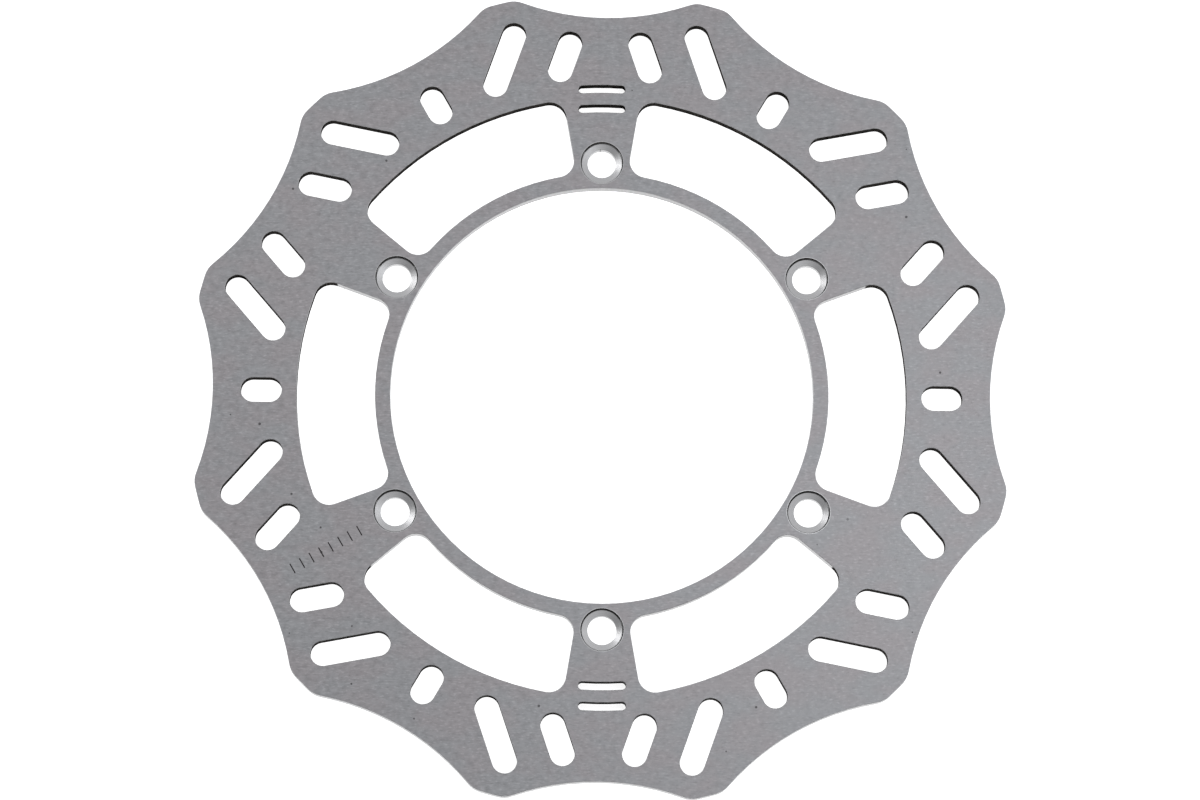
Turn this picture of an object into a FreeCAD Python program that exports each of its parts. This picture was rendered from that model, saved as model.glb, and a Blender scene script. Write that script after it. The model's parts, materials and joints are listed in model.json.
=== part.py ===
# Rear brake disc of an off-road motorcycle: one flat plate of stainless steel, laser cut and
# then surface ground on both faces.
#
# The disc lies flat. +Z is the spin axis and points out of the face that the bolt heads sit in.
# The origin is the centre of the bore, on the face that rests against the wheel hub (z = 0).
# +Y runs through the centre of one bolt hole. Lengths are in millimetres and angles in degrees,
# counter-clockwise from +Y as seen from +Z.
import FreeCAD, Part
import os
from math import acos, cos, degrees, radians, sin, tan

# Plate
OUTER_DIAMETER = 245.0
BORE_DIAMETER = 124.5
THICKNESS = 4.0
EDGE_BREAK = 0.12           # deburring chamfer on every cut edge, both faces

# Hub bolts: M8 shoulder screws in sunk seats
BOLT_COUNT = 6
BOLT_CIRCLE_DIAMETER = 140.0
BOLT_HOLE_DIAMETER = 8.5
SEAT_MOUTH_DIAMETER = 12.7
SEAT_FOOT_DIAMETER = 12.5   # the seat's wall leans in a little
SEAT_WALL_DEPTH = 1.1
SEAT_CORNER = 0.3           # 45 degree corner between the seat's wall and its floor
SEAT_FLOOR_SLOPE = 14.0     # the floor runs down to the hole at this angle

# Windows between the spokes
WINDOW_INNER_RADIUS = 66.8
WINDOW_OUTER_RADIUS = 89.8
WINDOW_CORNER_RADIUS = 5.0
SPOKE_WIDTH = 16.3          # between two windows, across the bolt circle
SPOKE_FLARE = 9.7           # each side of a spoke opens outwards at this angle

# Wavy rim: twelve lobes with a scallop between each two
LOBE_COUNT = 12
VALLEY_RADIUS = 114.5       # disc centre to the bottom of a scallop
SCALLOP_RADIUS = 75.0
LOBE_CORNER_RADIUS = 7.0

# Vent slots in the pad track. Each is (length, radius of its centre, offset from the middle of
# its sector, lean of its outer end towards the middle of the sector).
SECTOR_COUNT = 6
SLOT_WIDTH = 7.3
LONG_SLOT = (23.6, 105.4, 16.5, 19.0)
MEDIUM_SLOT = (16.0, 103.0, 6.65, 19.0)
SHORT_SLOT = (12.1, 100.2, 30.0, 0.0)
RING_TURN = -0.55           # slots and lobes are turned this much from the bolt holes

# Plain cut-outs above and below the bore: two short bars along circles round the bore
BAR_RADII = (86.6, 92.6)
BAR_WIDTH = 2.4
BAR_LENGTH = 14.0
BAR_ANGLES = (0.0, 180.0)

# A row of plain scribed ticks beside one bolt hole
TICK_COUNT = 8
TICK_SPACING = 3.2
TICK_LENGTH = 3.2
TICK_WIDTH = 0.35
TICK_DEPTH = 0.12
TICK_ANGLE = 120.0
TICK_FIRST_RADIUS = 82.0

OVERCUT = 1.0               # how far a cutter runs past a face


def vector(x, y, z=0.0):
    return FreeCAD.Vector(x, y, z)


def polar(radius, angle):
    """Point at a radius and an angle from +Y."""
    return vector(-radius * sin(radians(angle)), radius * cos(radians(angle)))


def arc(start, middle, end):
    return Part.Arc(start, middle, end).toShape()


def unit(direction):
    return direction / direction.Length


def turned(shape, angle):
    """Copy of a shape, turned about the spin axis."""
    copy = shape.copy()
    copy.rotate(vector(0, 0), vector(0, 0, 1), angle)
    return copy


def repeated(shape, count, first_angle=0.0):
    """Copies of a shape, evenly spaced round the spin axis."""
    return [turned(shape, first_angle + index * 360.0 / count) for index in range(count)]


def through_cutter(wire):
    """Prism on a flat outline that runs past both faces of the plate."""
    prism = Part.Face(wire).extrude(vector(0, 0, THICKNESS + 2 * OVERCUT))
    prism.translate(vector(0, 0, -OVERCUT))
    return prism


def rounded_corner(centre, radius, start, end):
    """Arc about a centre that joins two points on its circle the short way."""
    middle = centre + unit((start - centre) + (end - centre)) * radius
    return arc(start, middle, end)


def rim_outline():
    """Closed outline of lobes and scallops, joined by rounded corners."""
    pitch = 360.0 / LOBE_COUNT
    outer_radius = OUTER_DIAMETER / 2
    scallop_centre_radius = VALLEY_RADIUS + SCALLOP_RADIUS
    corner_centre_radius = outer_radius - LOBE_CORNER_RADIUS
    reach = SCALLOP_RADIUS + LOBE_CORNER_RADIUS
    corner_angle = degrees(acos(
        (corner_centre_radius ** 2 + scallop_centre_radius ** 2 - reach ** 2)
        / (2 * corner_centre_radius * scallop_centre_radius)))
    edges = []
    for index in range(LOBE_COUNT):
        axis = index * pitch
        scallop_centre = polar(scallop_centre_radius, axis)
        corner_before = polar(corner_centre_radius, axis - corner_angle)
        corner_after = polar(corner_centre_radius, axis + corner_angle)
        scallop_start = scallop_centre + unit(corner_before - scallop_centre) * SCALLOP_RADIUS
        scallop_end = scallop_centre + unit(corner_after - scallop_centre) * SCALLOP_RADIUS
        lobe_before = polar(outer_radius, axis - corner_angle)
        lobe_after = polar(outer_radius, axis + corner_angle)
        lobe_middle = polar(outer_radius, axis + pitch / 2)
        next_lobe_end = polar(outer_radius, axis + pitch - corner_angle)
        edges.append(rounded_corner(corner_before, LOBE_CORNER_RADIUS, lobe_before, scallop_start))
        edges.append(arc(scallop_start, polar(VALLEY_RADIUS, axis), scallop_end))
        edges.append(rounded_corner(corner_after, LOBE_CORNER_RADIUS, scallop_end, lobe_after))
        edges.append(arc(lobe_after, lobe_middle, next_lobe_end))
    return Part.Wire(edges)


def plate_blank():
    """Plate with its wavy rim, before anything is cut through it."""
    blank = Part.Face(rim_outline()).extrude(vector(0, 0, THICKNESS))
    return turned(blank, RING_TURN)


def cylinder_cutter(diameter):
    return Part.makeCylinder(
        diameter / 2, THICKNESS + 2 * OVERCUT, vector(0, 0, -OVERCUT))


def window_cutter():
    """Window centred on +Y: a ring sector between two spoke sides, with round corners."""
    ring = cylinder_cutter(2 * WINDOW_OUTER_RADIUS).cut(cylinder_cutter(2 * WINDOW_INNER_RADIUS))
    half_pitch = 180.0 / BOLT_COUNT
    bolt_radius = BOLT_CIRCLE_DIAMETER / 2
    corners = []
    for along in (0.0, OUTER_DIAMETER):
        half_spoke = SPOKE_WIDTH / 2 + (along - bolt_radius) * tan(radians(SPOKE_FLARE))
        corners.append(vector(half_spoke, along))
    near, far = corners
    # The side is drawn beside the bolt hole on +Y, then turned to lie beside the next window.
    turn = FreeCAD.Rotation(vector(0, 0, 1), half_pitch)
    left_near, left_far = turn.multVec(near), turn.multVec(far)
    right_near = vector(-left_near.x, left_near.y)
    right_far = vector(-left_far.x, left_far.y)
    wedge = Part.makePolygon([left_near, left_far, right_far, right_near, left_near])
    window = ring.common(through_cutter(wedge))
    uprights = [edge for edge in window.Edges if is_upright(edge)]
    return window.makeFillet(WINDOW_CORNER_RADIUS, uprights)


def is_upright(edge):
    """True for a straight edge along Z."""
    span = edge.BoundBox
    return span.XLength < 1e-6 and span.YLength < 1e-6


def slot_cutter(length, radius, offset, lean):
    """Straight slot with round ends. Its outer end leans clockwise when lean is positive."""
    half_width = SLOT_WIDTH / 2
    half_straight = length / 2 - half_width
    top = half_straight + half_width
    edges = [
        Part.makeLine(vector(half_width, -half_straight), vector(half_width, half_straight)),
        arc(vector(half_width, half_straight), vector(0, top), vector(-half_width, half_straight)),
        Part.makeLine(vector(-half_width, half_straight), vector(-half_width, -half_straight)),
        arc(vector(-half_width, -half_straight), vector(0, -top),
            vector(half_width, -half_straight)),
    ]
    slot = through_cutter(Part.Wire(edges))
    slot.rotate(vector(0, 0), vector(0, 0, 1), -lean)
    slot.translate(polar(radius, offset))
    return slot


def sector_slots():
    """The slots of one sector: a mirrored fan of long and medium slots, and a short one."""
    slots = []
    for length, radius, offset, lean in (LONG_SLOT, MEDIUM_SLOT):
        slots.append(slot_cutter(length, radius, offset, lean))
        slots.append(slot_cutter(length, radius, -offset, -lean))
    length, radius, offset, lean = SHORT_SLOT
    short = slot_cutter(length, radius, 0.0, lean)
    slots.append(turned(short, offset))
    return slots


def vent_cutters():
    cutters = []
    for slot in sector_slots():
        cutters += repeated(slot, SECTOR_COUNT, RING_TURN)
    return cutters


def bar_cutter(radius):
    """Bar with round ends that follows a circle round the bore, centred on +Y."""
    half_width = BAR_WIDTH / 2
    half_angle = degrees((BAR_LENGTH - BAR_WIDTH) / 2 / radius)
    inner = radius - half_width
    outer = radius + half_width
    edges = [arc(polar(outer, -half_angle), polar(outer, 0), polar(outer, half_angle))]
    edges.append(bar_end(radius, half_width, half_angle))
    edges.append(arc(polar(inner, half_angle), polar(inner, 0), polar(inner, -half_angle)))
    edges.append(bar_end(radius, half_width, -half_angle))
    return through_cutter(Part.Wire(edges))


def bar_end(radius, half_width, angle):
    """Half circle round the end of a bar, on the side away from the bar's middle."""
    centre = polar(radius, angle)
    along = unit(polar(1, angle + 90)) * (half_width if angle > 0 else -half_width)
    return arc(polar(radius + half_width, angle), centre + along,
               polar(radius - half_width, angle))


def bar_cutters():
    return [turned(bar_cutter(radius), angle) for radius in BAR_RADII for angle in BAR_ANGLES]


def bolt_position():
    return polar(BOLT_CIRCLE_DIAMETER / 2, 0)


def bolt_hole_cutter():
    hole = cylinder_cutter(BOLT_HOLE_DIAMETER)
    hole.translate(bolt_position())
    return hole


def seat_cutter():
    """Sunk bolt seat: a steep wall, a 45 degree corner, and a floor that runs to the hole."""
    mouth = SEAT_MOUTH_DIAMETER / 2
    foot = SEAT_FOOT_DIAMETER / 2
    floor = foot - SEAT_CORNER
    hole = BOLT_HOLE_DIAMETER / 2
    foot_height = THICKNESS - SEAT_WALL_DEPTH
    floor_height = foot_height - SEAT_CORNER
    hole_height = floor_height - (floor - hole) * tan(radians(SEAT_FLOOR_SLOPE))
    profile = [
        vector(0, 0, hole_height),
        vector(hole, 0, hole_height),
        vector(floor, 0, floor_height),
        vector(foot, 0, foot_height),
        vector(mouth, 0, THICKNESS),
        vector(mouth, 0, THICKNESS + OVERCUT),
        vector(0, 0, THICKNESS + OVERCUT),
        vector(0, 0, hole_height),
    ]
    seat = Part.Face(Part.makePolygon(profile)).revolve(vector(0, 0), vector(0, 0, 1), 360)
    seat.translate(bolt_position())
    return seat


def tick_cutters():
    """Shallow scribed lines in a row that runs outwards, each across the row."""
    cutters = []
    for index in range(TICK_COUNT):
        tick = Part.makeBox(TICK_LENGTH, TICK_WIDTH, TICK_DEPTH + OVERCUT)
        radius = TICK_FIRST_RADIUS + index * TICK_SPACING
        tick.translate(vector(-TICK_LENGTH / 2, radius - TICK_WIDTH / 2, THICKNESS - TICK_DEPTH))
        cutters.append(turned(tick, TICK_ANGLE))
    return cutters


def lies_on_face(edge):
    """True for an edge in the hub face or in the seat face."""
    span = edge.BoundBox
    return span.ZLength < 1e-6 and (abs(span.ZMin) < 1e-6 or abs(span.ZMax - THICKNESS) < 1e-6)


def brake_disc():
    """The finished plate: cut through, deburred, then seated and scribed."""
    through_cutters = [cylinder_cutter(BORE_DIAMETER)]
    through_cutters += repeated(window_cutter(), BOLT_COUNT, 180.0 / BOLT_COUNT)
    through_cutters += repeated(bolt_hole_cutter(), BOLT_COUNT)
    through_cutters += vent_cutters()
    through_cutters += bar_cutters()
    plate = plate_blank().cut(through_cutters)
    plate = plate.makeChamfer(EDGE_BREAK, [edge for edge in plate.Edges if lies_on_face(edge)])
    return plate.cut(repeated(seat_cutter(), BOLT_COUNT) + tick_cutters())


def single_solid(shape):
    """The one solid inside a boolean's result."""
    assert len(shape.Solids) == 1 and shape.isValid()
    return shape.Solids[0]


os.makedirs("parts", exist_ok=True)
disc = single_solid(brake_disc())
disc.exportStep("parts/brake_disc.step")
print("brake_disc: volume", round(disc.Volume, 1), "mm3, faces", len(disc.Faces))
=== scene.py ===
"""Looks for a laser-cut, surface-ground off-road brake disc that lies flat on a pale floor."""
import json
from math import cos, radians, sin, tau

import bpy
from mathutils import Matrix, Vector


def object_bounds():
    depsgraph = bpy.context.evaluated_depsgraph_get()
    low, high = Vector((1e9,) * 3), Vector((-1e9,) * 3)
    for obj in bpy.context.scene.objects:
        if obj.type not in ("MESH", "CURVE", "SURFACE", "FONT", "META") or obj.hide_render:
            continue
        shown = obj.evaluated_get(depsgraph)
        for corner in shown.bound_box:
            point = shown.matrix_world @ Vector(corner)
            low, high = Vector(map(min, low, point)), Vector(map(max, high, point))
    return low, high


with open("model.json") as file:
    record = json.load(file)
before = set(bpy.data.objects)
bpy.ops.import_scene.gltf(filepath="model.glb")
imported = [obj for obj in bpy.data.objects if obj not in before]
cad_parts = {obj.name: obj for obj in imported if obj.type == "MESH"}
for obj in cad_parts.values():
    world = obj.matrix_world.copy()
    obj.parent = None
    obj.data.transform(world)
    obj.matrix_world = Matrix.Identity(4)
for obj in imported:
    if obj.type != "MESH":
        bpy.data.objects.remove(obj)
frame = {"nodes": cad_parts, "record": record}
cad_low, cad_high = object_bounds()

# Places on the plate, in metres. Radii are from the spin axis where nothing else is said.
MOUNTS = {mount["name"]: mount for mount in frame["record"]["mounts"]}
THICKNESS = cad_high.z
BOLT_CIRCLE_RADIUS = MOUNTS["hub_bolts"]["dims"]["pcd_mm"] / 2000
BOLT_COUNT = MOUNTS["hub_bolts"]["dims"]["count"]
SEAT_RADIUS = 0.00648           # of a bolt seat's mouth, from the bolt hole's own axis
SEAT_SHADED_WALL_WIDTH = 0.0005        # the seat's steep wall is within this of its mouth, and is painted near black as shade
HUB_MILLED_RADIUS = 0.0845      # cut walls nearer the spin axis than this are milled bright
LOBE_COUNT = 12                 # round the rim, with a scallop between each two lobes
RING_TURN = radians(-0.55)      # lobes and scallops are turned this much from the bolt holes
SCALLOP_RADIUS = 0.075          # of a scallop's own circle
SCALLOP_CENTRE_RADIUS = 0.1895
LOBE_TIP_RADIUS = 0.1205        # beyond this radius there is only the rim
RIM_MARGIN = 0.0004             # a wall this near a scallop's circle is the rim
BACK_MARGIN = 0.0002            # the back face and its edge break are lower than this
TICK_DEPTH = 0.00012

# Widths over which one surface's look gives way to the next, in metres
SEAT_FADE = 0.00004
HUB_FADE = 0.0005
LOBE_TIP_FADE = 0.0003

# How level a surface is: 0 on an upright wall, 0.7 on a 45 degree corner, 1 on a face.
# Each pair is where one kind of surface starts to turn into the next, and where it has.
WALL_TO_CORNER = (0.25, 0.40)
CORNER_STARTS = (0.40, 0.55)
CORNER_ENDS = (0.85, 0.95)
FACE_STARTS = (0.96, 0.99)

# Camera: above the seat face, a little below and to the left of the spin axis as it is seen
CAMERA_DISTANCE = 1.5
CAMERA_LEAN_DOWN = radians(10.85)
CAMERA_LEAN_LEFT = radians(1.2)
CAMERA_AIM = Vector((-0.0005, -0.0010, 0.0))
CAMERA_LENS = 152.5
CAMERA_CLIP = (0.05, 50.0)
SENSOR_WIDTH = 36.0

# Colours, as linear red, green and blue
GROUND_STEEL_WARM = (0.267, 0.255, 0.263)
GROUND_STEEL_COOL = (0.258, 0.260, 0.269)
MILLED_STEEL = (0.31, 0.308, 0.312)
MACHINED_STEEL = (0.42, 0.42, 0.425)
EDGE_STEEL = (0.55, 0.55, 0.555)
# Cut walls: dark laser-cut oxide, darkened further to near black as painted shade
CUT_WALL_OXIDE_SHADE_DARK = (0.004, 0.004, 0.004)
CUT_WALL_OXIDE_SHADE_LIGHT = (0.048, 0.043, 0.040)
SCRIBED_DARK = (0.035, 0.033, 0.034)
FLOOR_COLOUR = (0.90, 0.90, 0.90)
STUDIO_COLOUR = (0.98, 0.985, 1.0)
COOL_LIGHT = (0.96, 0.98, 1.0)
WHITE = (1.0, 1.0, 1.0)

# Roughness of each surface
GROUND_ROUGHNESS = 0.40
EDGE_ROUGHNESS = 0.30
CUT_WALL_ROUGHNESS = 0.62
MILLED_ROUGHNESS = 0.28
SEAT_ROUGHNESS = (0.26, 0.36)   # in the rings' valleys and on their crests
SEAT_CORNER_ROUGHNESS = 0.12
SCRIBED_ROUGHNESS = 0.80
FLOOR_ROUGHNESS = 0.85
SHORT_ROUGHENING = 0.08         # by the short streaks, both ways
PATCH_ROUGHENING = 0.06

# Patterns, as features in a metre along X, Y and Z
FINE_STREAKS = (330.0, 13000.0, 40.0)
SHORT_STREAKS = (620.0, 1900.0, 40.0)
LONG_STREAKS = (120.0, 2400.0, 40.0)
DASHES = (760.0, 2100.0, 20.0)
PATCHES = (460.0, 620.0, 20.0)
CLOUDS = (60.0, 90.0, 20.0)
DRAG_LINES = (2600.0, 2600.0, 120.0)
SCORCH_MARKS = (260.0, 260.0, 300.0)
SEAT_RINGS = 2200.0             # outwards from a bolt hole's axis
SPECK_CELLS = 110.0             # cells that may each hold one speck
FLOOR_TOOTH = 900.0

# Where a pattern's value starts to change a look, and where it has changed it in full
BRIGHT_DASH_RANGE = (0.58, 0.74)
DARK_DASH_RANGE = (0.26, 0.40)
CLOUD_RANGE = (0.36, 0.64)
RING_COLOUR_RANGE = (0.25, 0.75)
RING_ROUGHNESS_RANGE = (0.2, 0.8)
DRAG_RANGE = (0.2, 0.8)
CUT_WALL_RANGE = (0.35, 0.95)

# How much each pattern lightens and darkens the ground faces
GROUND_BRIGHTNESS = 0.99
FINE_CONTRAST = 0.11
SHORT_CONTRAST = 0.10
LONG_CONTRAST = 0.04
PATCH_CONTRAST = 0.26
BRIGHT_DASH_GAIN = 0.24
DARK_DASH_LOSS = 0.14

# How much the patterns lighten and darken the other surfaces
SEAT_SHADES = (0.66, 1.30)      # in the rings' valleys and on their crests
MILLED_SHADES = (0.78, 1.18)
SCORCH_CONTRAST = 0.25
DEPTH_CONTRAST = 0.25           # from the back face up to the seat face
FLOOR_SHADES = (0.985, 1.0)

# Heights of the relief, as multiples of RELIEF_HEIGHT, which is in metres
RELIEF_HEIGHT = 0.0000022
FINE_HEIGHT = 0.6
SHORT_HEIGHT = 0.5
DRAG_HEIGHT = 6.0
RING_HEIGHT = 1.5

# Specks
SPECK_THRESHOLD = 0.92          # a cell with a random number above this holds a speck
SPECK_THRESHOLD_FADE = 0.01
SPECK_SIZES = (0.018, 0.045)    # radii, as parts of a cell
SPECK_STRENGTH = 0.75

# Floor
FLOOR_HALF_WIDTH = 12.0
FLOOR_GAP = 0.0001              # between the plate's back face and the floor
FLOOR_GLOW = 0.80
FLOOR_SPECULAR = 0.2

# The light from all round. Directions are unit vectors: east along +X, north along +Y, up along +Z.
OVERHEAD_UP = (0.30, 0.90)      # the overhead glow grows between these
OVERHEAD_GLOW = (0.22, 0.60)    # from this strength to this one
OVERHEAD_DIMMEST_NORTH = -0.08  # it is dimmer in a band from east to west, at this north
OVERHEAD_BASE_GAIN = 1.06
OVERHEAD_EAST_GAIN = 1.2
OVERHEAD_NORTH_GAIN = 3.7       # by the square of the distance from the dimmest band
OVERHEAD_GAIN_LIMITS = (0.6, 1.8)
PALE_WALL_UP = (0.35, 0.65)     # the studio's pale walls fade out between these
PALE_WALL_GLOW = 0.62
DOORWAY_NORTH = (-0.45, -0.35)  # the dark doorway ends between these
DOORWAY_TOP = (0.11, 0.16)      # and it fades out upwards between these
DOORWAY_SLANT = 0.155           # its top is this much higher for each unit further south
DOORWAY_GLOW = 0.05             # what is left of the light in it


class Graph:
    """Short names for building one material's or world's nodes."""

    def __init__(self, owner):
        owner.use_nodes = True
        self.tree = owner.node_tree
        self.tree.nodes.clear()

    def node(self, kind, inputs=(), **settings):
        made = self.tree.nodes.new(kind)
        for name, value in settings.items():
            setattr(made, name, value)
        for name, value in dict(inputs).items():
            self.feed(made.inputs[name], value)
        return made

    def feed(self, socket, value):
        """Links a socket to another, or sets it to a plain value."""
        if isinstance(value, bpy.types.NodeSocket):
            self.tree.links.new(value, socket)
        elif socket.type == "RGBA":
            socket.default_value = (*value, 1.0)
        else:
            socket.default_value = value

    def feed_all(self, made, values):
        for socket, value in zip(made.inputs, values):
            self.feed(socket, value)

    def math(self, operation, *values):
        made = self.node("ShaderNodeMath", operation=operation)
        self.feed_all(made, values)
        return made.outputs[0]

    def times(self, *values):
        """Product of all the values."""
        product = values[0]
        for value in values[1:]:
            product = self.math("MULTIPLY", product, value)
        return product

    def total(self, *values):
        """Sum of all the values."""
        result = values[0]
        for value in values[1:]:
            result = self.math("ADD", result, value)
        return result

    def either(self, first, second):
        """The larger of two values, such as masks."""
        return self.math("MAXIMUM", first, second)

    def without(self, mask):
        """1 where the mask is 0, and 0 where it is 1."""
        return self.math("SUBTRACT", 1.0, mask)

    def length(self, first, second):
        """Length of the diagonal across two lengths at right angles."""
        squares = self.total(self.times(first, first), self.times(second, second))
        return self.math("SQRT", squares)

    def ramp(self, value, low, high, low_result=0.0, high_result=1.0, smooth=False):
        """low_result up to low, high_result from high on, and a slope between them."""
        kind = "SMOOTHSTEP" if smooth else "LINEAR"
        made = self.node("ShaderNodeMapRange", interpolation_type=kind)
        self.feed_all(made, (value, low, high, low_result, high_result))
        return made.outputs[0]

    def below(self, value, low, high):
        """1 up to low and 0 from high on."""
        return self.ramp(value, low, high, 1.0, 0.0)

    def swing(self, value, amount):
        """A 0 to 1 value turned into one from -amount to +amount."""
        return self.ramp(value, 0.0, 1.0, -amount, amount)

    def noise(self, vector, scale, detail=2.0, roughness=0.6):
        """Noise from 0 to 1. scale is features in a metre, the same for all axes or one each."""
        if isinstance(scale, tuple):
            stretch = self.node("ShaderNodeVectorMath", operation="MULTIPLY")
            self.feed_all(stretch, (vector, scale))
            vector, scale = stretch.outputs[0], 1.0
        made = self.node("ShaderNodeTexNoise", {
            "Vector": vector, "Scale": scale, "Detail": detail, "Roughness": roughness})
        return made.outputs["Fac"]

    def mix(self, factor, first, second):
        """First colour at 0, second colour at 1."""
        made = self.node("ShaderNodeMix", data_type="RGBA")
        factor_socket, _, _, _, _, _, first_socket, second_socket = made.inputs[:8]
        self.feed(factor_socket, factor)
        self.feed(first_socket, first)
        self.feed(second_socket, second)
        return made.outputs[2]

    def blend(self, factor, first, second):
        """First number at 0, second number at 1."""
        made = self.node("ShaderNodeMix", data_type="FLOAT")
        factor_socket, _, first_socket, second_socket = made.inputs[:4]
        self.feed(factor_socket, factor)
        self.feed(first_socket, first)
        self.feed(second_socket, second)
        return made.outputs[0]

    def scaled(self, colour, factor):
        """A colour made brighter or darker by a factor."""
        made = self.node("ShaderNodeVectorMath", operation="SCALE", inputs={"Scale": factor})
        self.feed(made.inputs[0], colour)
        return made.outputs[0]


class PlatePlaces:
    """Where a point of the plate is: its coordinates, and masks for each kind of surface."""

    def __init__(self, graph):
        coordinates = graph.node("ShaderNodeTexCoord")
        self.point = coordinates.outputs["Object"]
        place = graph.node("ShaderNodeSeparateXYZ", {"Vector": self.point})
        self.x, self.y, self.z = place.outputs
        facing = graph.node("ShaderNodeSeparateXYZ", {"Vector": coordinates.outputs["Normal"]})
        self.level = graph.math("ABSOLUTE", facing.outputs[2])
        self.radius = graph.length(self.x, self.y)
        self.bolt_distance = self.distance_to_nearest(graph, BOLT_COUNT, BOLT_CIRCLE_RADIUS)
        self.wall = graph.below(self.level, *WALL_TO_CORNER)
        self.edge = graph.times(
            graph.ramp(self.level, *CORNER_STARTS), graph.below(self.level, *CORNER_ENDS))
        in_seat = self.inside_seats(graph)
        # The seat's steep wall by its mouth is left out of the seat, so it takes the near-black
        # cut-wall colour: painted shade for the shadow under the seat's rim.
        mouth_shade_band = graph.ramp(
            self.bolt_distance, SEAT_RADIUS - SEAT_SHADED_WALL_WIDTH, SEAT_RADIUS - 0.8 * SEAT_SHADED_WALL_WIDTH)
        self.seat = graph.times(in_seat, graph.without(graph.times(mouth_shade_band, self.wall)))
        self.seat_corner = graph.times(self.seat, self.edge)
        self.bright_wall = graph.times(
            self.wall, graph.without(in_seat), graph.either(self.by_hub(graph), self.on_rim(graph)))
        self.tick = self.scribed_ticks(graph)

    def distance_to_nearest(self, graph, count, circle_radius, turn=0.0):
        """Distance, seen along Z, from the nearest of count centres on a circle.

        The first centre is on +Y, or turn counter-clockwise from it.
        """
        pitch = tau / count
        bearing = graph.math("ADD", graph.math("ARCTAN2", self.x, self.y), turn)
        turns = graph.math("ROUND", graph.math("DIVIDE", bearing, pitch))
        from_centre = graph.math("SUBTRACT", bearing, graph.times(turns, pitch))
        across = graph.times(self.radius, graph.math("SINE", from_centre))
        outwards = graph.times(self.radius, graph.math("COSINE", from_centre))
        return graph.length(across, graph.math("SUBTRACT", outwards, circle_radius))

    def inside_seats(self, graph):
        """Within a bolt seat's mouth, and not on the back face."""
        within_mouth = graph.below(self.bolt_distance, SEAT_RADIUS, SEAT_RADIUS + SEAT_FADE)
        above_back = graph.ramp(self.z, BACK_MARGIN, 2 * BACK_MARGIN)
        return graph.times(within_mouth, above_back)

    def by_hub(self, graph):
        """The bore, and the hub side of the windows."""
        return graph.below(self.radius, HUB_MILLED_RADIUS, HUB_MILLED_RADIUS + HUB_FADE)

    def on_rim(self, graph):
        """The scallops, and the lobes between them."""
        scallop_distance = self.distance_to_nearest(
            graph, LOBE_COUNT, SCALLOP_CENTRE_RADIUS, RING_TURN)
        return graph.either(
            graph.ramp(self.radius, LOBE_TIP_RADIUS, LOBE_TIP_RADIUS + LOBE_TIP_FADE),
            graph.below(scallop_distance, SCALLOP_RADIUS + RIM_MARGIN,
                        SCALLOP_RADIUS + 1.5 * RIM_MARGIN))

    def scribed_ticks(self, graph):
        """Level places a tick's depth below the seat face."""
        below_face = graph.below(self.z, THICKNESS - TICK_DEPTH / 2, THICKNESS - TICK_DEPTH / 3)
        above_pit = graph.ramp(self.z, THICKNESS - 2 * TICK_DEPTH, THICKNESS - 1.6 * TICK_DEPTH)
        return graph.times(graph.ramp(self.level, *FACE_STARTS), below_face, above_pit)


def ground_face(graph, place):
    """Colour, roughness and height of the surface-ground faces, with grinding marks along X."""
    fine = graph.noise(place.point, FINE_STREAKS)
    short = graph.noise(place.point, SHORT_STREAKS)
    long = graph.noise(place.point, LONG_STREAKS)
    patch = graph.noise(place.point, PATCHES)
    dash = graph.noise(place.point, DASHES, detail=1.0, roughness=0.5)
    brightness = graph.total(
        GROUND_BRIGHTNESS, graph.swing(fine, FINE_CONTRAST), graph.swing(short, SHORT_CONTRAST),
        graph.swing(long, LONG_CONTRAST), graph.swing(patch, PATCH_CONTRAST),
        graph.ramp(dash, *BRIGHT_DASH_RANGE, 0.0, BRIGHT_DASH_GAIN),
        graph.ramp(dash, *DARK_DASH_RANGE, -DARK_DASH_LOSS, 0.0))
    cloud = graph.noise(place.point, CLOUDS, detail=3.0, roughness=0.55)
    tint = graph.ramp(cloud, *CLOUD_RANGE, smooth=True)
    colour = graph.scaled(graph.mix(tint, GROUND_STEEL_WARM, GROUND_STEEL_COOL), brightness)
    roughness = graph.total(GROUND_ROUGHNESS, graph.swing(short, SHORT_ROUGHENING),
                            graph.swing(patch, PATCH_ROUGHENING))
    height = graph.total(graph.times(fine, FINE_HEIGHT), graph.times(short, SHORT_HEIGHT), long)
    return colour, roughness, height


def specks(graph, place):
    """Sparse small dark pits and inclusions, from 0 to 1."""
    cells = graph.node("ShaderNodeTexVoronoi", {
        "Vector": place.point, "Scale": SPECK_CELLS, "Randomness": 1.0}, voronoi_dimensions="2D")
    chance = graph.node("ShaderNodeSeparateColor", {"Color": cells.outputs["Color"]})
    chosen = graph.ramp(chance.outputs[0], SPECK_THRESHOLD, SPECK_THRESHOLD + SPECK_THRESHOLD_FADE)
    size = graph.ramp(chance.outputs[1], 0.0, 1.0, *SPECK_SIZES)
    dot = graph.math("LESS_THAN", cells.outputs["Distance"], size)
    return graph.times(chosen, dot)


def turned_seat(graph, place):
    """Colour, roughness and height of the turned bolt seats: fine rings round each hole."""
    noise = graph.node("ShaderNodeTexNoise", {
        "W": graph.times(place.bolt_distance, SEAT_RINGS), "Detail": 2.0, "Roughness": 0.7},
        noise_dimensions="1D")
    rings = noise.outputs["Fac"]
    colour = graph.scaled(MACHINED_STEEL, graph.ramp(rings, *RING_COLOUR_RANGE, *SEAT_SHADES))
    roughness = graph.ramp(rings, *RING_ROUGHNESS_RANGE, *SEAT_ROUGHNESS)
    return colour, roughness, graph.times(rings, RING_HEIGHT)


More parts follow.
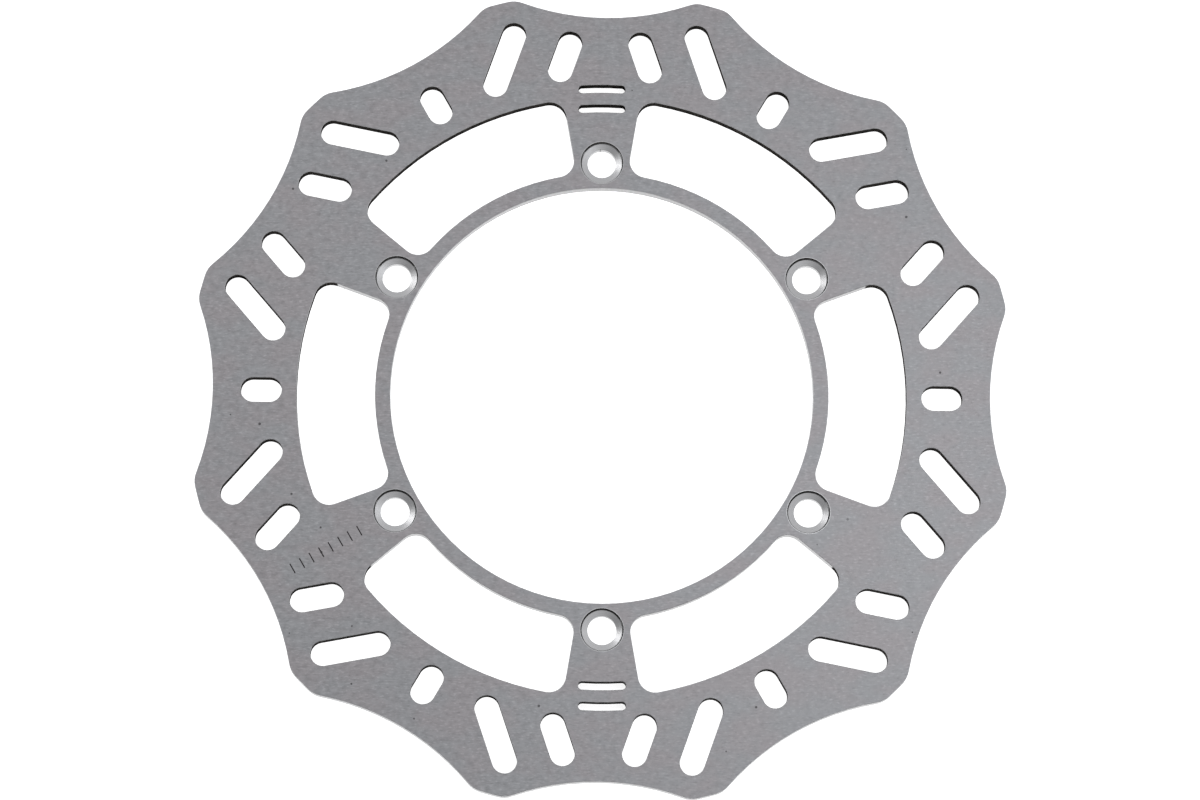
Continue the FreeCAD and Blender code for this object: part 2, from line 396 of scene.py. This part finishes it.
def cut_wall(graph, place):
    """Rough colour, milled colour and height of a cut wall, from its upright drag lines.

    The rough colour is near black: partly the dark laser-cut oxide, partly painted shade for the
    shadow on the walls in the openings. It is darker towards the back face, and has scorch marks.
    """
    drag = graph.noise(place.point, DRAG_LINES, detail=3.0)
    scorch = graph.noise(place.point, SCORCH_MARKS, roughness=0.5)
    height_above_back = graph.ramp(place.z, 0.0, THICKNESS)
    lightness = graph.total(drag, graph.swing(scorch, SCORCH_CONTRAST),
                            graph.times(height_above_back, DEPTH_CONTRAST))
    shade = graph.ramp(lightness, *CUT_WALL_RANGE)
    oxide_and_shade_colour = graph.mix(shade, CUT_WALL_OXIDE_SHADE_DARK, CUT_WALL_OXIDE_SHADE_LIGHT)
    milled_colour = graph.scaled(MILLED_STEEL, graph.ramp(drag, *DRAG_RANGE, *MILLED_SHADES))
    return oxide_and_shade_colour, milled_colour, graph.times(drag, DRAG_HEIGHT)


def disc_material():
    """One steel for the whole plate, with a finish for each kind of surface."""
    material = bpy.data.materials.new("disc_steel_ground")
    graph = Graph(material)
    place = PlatePlaces(graph)
    face_colour, face_roughness, face_height = ground_face(graph, place)
    seat_colour, seat_roughness, seat_height = turned_seat(graph, place)
    wall_oxide_and_shade, milled_colour, wall_height = cut_wall(graph, place)
    speck_strength = graph.times(specks(graph, place), SPECK_STRENGTH)

    colour = graph.mix(place.edge, face_colour, EDGE_STEEL)
    # Walls take the near-black cut-wall colour, which is partly oxide and partly painted shade
    colour = graph.mix(place.wall, colour, wall_oxide_and_shade)
    colour = graph.mix(place.bright_wall, colour, milled_colour)
    colour = graph.mix(place.seat, colour, seat_colour)
    colour = graph.mix(speck_strength, colour, SCRIBED_DARK)
    colour = graph.mix(place.tick, colour, SCRIBED_DARK)

    roughness = graph.blend(place.edge, face_roughness, EDGE_ROUGHNESS)
    roughness = graph.blend(place.wall, roughness, CUT_WALL_ROUGHNESS)
    roughness = graph.blend(place.bright_wall, roughness, MILLED_ROUGHNESS)
    roughness = graph.blend(place.seat, roughness, seat_roughness)
    roughness = graph.blend(place.seat_corner, roughness, SEAT_CORNER_ROUGHNESS)
    roughness = graph.blend(place.tick, roughness, SCRIBED_ROUGHNESS)

    machined = graph.either(place.bright_wall, place.seat)
    # Rough walls are not metal, so they stay near black: partly oxide, partly painted shade
    shaded_rough_wall = graph.either(graph.math("SUBTRACT", place.wall, machined), 0.0)
    metallic = graph.without(graph.either(shaded_rough_wall, place.tick))

    height = graph.blend(place.wall, face_height, wall_height)
    height = graph.blend(place.seat, height, seat_height)
    bump = graph.node("ShaderNodeBump", {
        "Strength": 1.0, "Distance": RELIEF_HEIGHT, "Height": height})
    shader = graph.node("ShaderNodeBsdfPrincipled", {
        "Base Color": colour, "Metallic": metallic, "Roughness": roughness,
        "Specular IOR Level": 0.0, "Normal": bump.outputs["Normal"]})
    graph.node("ShaderNodeOutputMaterial", {"Surface": shader.outputs["BSDF"]})
    return material


def floor_material():
    """Matt pale card with a faint tooth, which glows a little so that it stays white."""
    material = bpy.data.materials.new("pale_floor")
    graph = Graph(material)
    point = graph.node("ShaderNodeTexCoord").outputs["Object"]
    tooth = graph.noise(point, FLOOR_TOOTH, roughness=0.5)
    shader = graph.node("ShaderNodeBsdfPrincipled", {
        "Base Color": graph.scaled(FLOOR_COLOUR, graph.ramp(tooth, 0.0, 1.0, *FLOOR_SHADES)),
        "Roughness": FLOOR_ROUGHNESS, "Specular IOR Level": FLOOR_SPECULAR,
        "Emission Color": WHITE, "Emission Strength": FLOOR_GLOW})
    graph.node("ShaderNodeOutputMaterial", {"Surface": shader.outputs["BSDF"]})
    return material


def dress_disc():
    """Gives the carried-over plate its finished material."""
    disc = frame["nodes"]["brake_disc"]
    disc.material_slots[0].material = disc_material()


def add_floor():
    """Plain pale floor just under the plate."""
    half = FLOOR_HALF_WIDTH
    corners = [(-half, -half, 0), (half, -half, 0), (half, half, 0), (-half, half, 0)]
    mesh = bpy.data.meshes.new("floor")
    mesh.from_pydata(corners, [], [(0, 1, 2, 3)])
    mesh.materials.append(floor_material())
    floor = bpy.data.objects.new("floor", mesh)
    floor.location.z = cad_low.z - FLOOR_GAP
    bpy.context.scene.collection.objects.link(floor)


def add_softbox(name, azimuth, elevation, distance, size, power, colour=WHITE):
    """Square area light that looks at the disc. Azimuth is clockwise from +Y."""
    light = bpy.data.lights.new(name, "AREA")
    light.shape = "SQUARE"
    light.size = size
    light.energy = power
    light.color = colour
    lamp = bpy.data.objects.new(name, light)
    level = distance * cos(radians(elevation))
    lamp.location = (level * sin(radians(azimuth)), level * cos(radians(azimuth)),
                     distance * sin(radians(elevation)))
    lamp.rotation_euler = lamp.location.to_track_quat("Z", "Y").to_euler()
    bpy.context.scene.collection.objects.link(lamp)


def add_lights():
    """Two soft lamps, which make the highlights of the seats and the brighter right side."""
    add_softbox("left", azimuth=-56.0, elevation=58.0, distance=1.9, size=0.45, power=3.2)
    add_softbox("right", azimuth=60.0, elevation=76.5, distance=1.03, size=0.30, power=0.65,
                colour=COOL_LIGHT)


def overhead_glow(graph, east, north, up):
    """Strength of the light from above: more towards +X, and away from a dimmer middle band."""
    glow = graph.ramp(up, *OVERHEAD_UP, *OVERHEAD_GLOW, smooth=True)
    from_band = graph.math("SUBTRACT", north, OVERHEAD_DIMMEST_NORTH)
    gain = graph.total(
        OVERHEAD_BASE_GAIN, graph.times(east, OVERHEAD_EAST_GAIN),
        graph.times(from_band, from_band, OVERHEAD_NORTH_GAIN))
    return graph.times(glow, graph.ramp(gain, *OVERHEAD_GAIN_LIMITS, *OVERHEAD_GAIN_LIMITS))


def dark_doorway(graph, north, up):
    """1 in a low opening towards -Y, which gives the bolt seats their dark arcs, and 0 outside."""
    height = graph.total(up, graph.times(north, DOORWAY_SLANT))
    return graph.times(graph.below(north, *DOORWAY_NORTH), graph.below(height, *DOORWAY_TOP))


def add_world():
    """Soft studio light: overhead, and from pale walls all round but for one dark doorway."""
    world = bpy.data.worlds.new("studio")
    graph = Graph(world)
    direction = graph.node("ShaderNodeTexCoord").outputs["Generated"]
    east, north, up = graph.node("ShaderNodeSeparateXYZ", {"Vector": direction}).outputs
    pale_walls = graph.ramp(up, *PALE_WALL_UP, PALE_WALL_GLOW, 0.0, smooth=True)
    doorway = dark_doorway(graph, north, up)
    strength = graph.times(
        graph.total(overhead_glow(graph, east, north, up), pale_walls),
        graph.ramp(doorway, 0.0, 1.0, 1.0, DOORWAY_GLOW))
    glow = graph.node("ShaderNodeBackground", {"Color": STUDIO_COLOUR, "Strength": strength})
    graph.node("ShaderNodeOutputWorld", {"Surface": glow.outputs[0]})
    bpy.context.scene.world = world


def add_camera():
    """Looks down on the seat face, with +Y up in the picture."""
    data = bpy.data.cameras.new("camera")
    data.lens = CAMERA_LENS
    data.sensor_width = SENSOR_WIDTH
    data.clip_start, data.clip_end = CAMERA_CLIP
    camera = bpy.data.objects.new("camera", data)
    back = Vector((-sin(CAMERA_LEAN_LEFT), -sin(CAMERA_LEAN_DOWN), 0.0))
    back.z = (1.0 - back.x ** 2 - back.y ** 2) ** 0.5
    right = Vector((0.0, 1.0, 0.0)).cross(back).normalized()
    up = back.cross(right)
    turn = Matrix((right, up, back)).transposed().to_4x4()
    camera.matrix_world = Matrix.Translation(CAMERA_AIM + back * CAMERA_DISTANCE) @ turn
    bpy.context.scene.collection.objects.link(camera)
    bpy.context.scene.camera = camera


dress_disc()
add_floor()
add_lights()
add_world()
add_camera()
bpy.context.scene.view_settings.view_transform = "Standard"
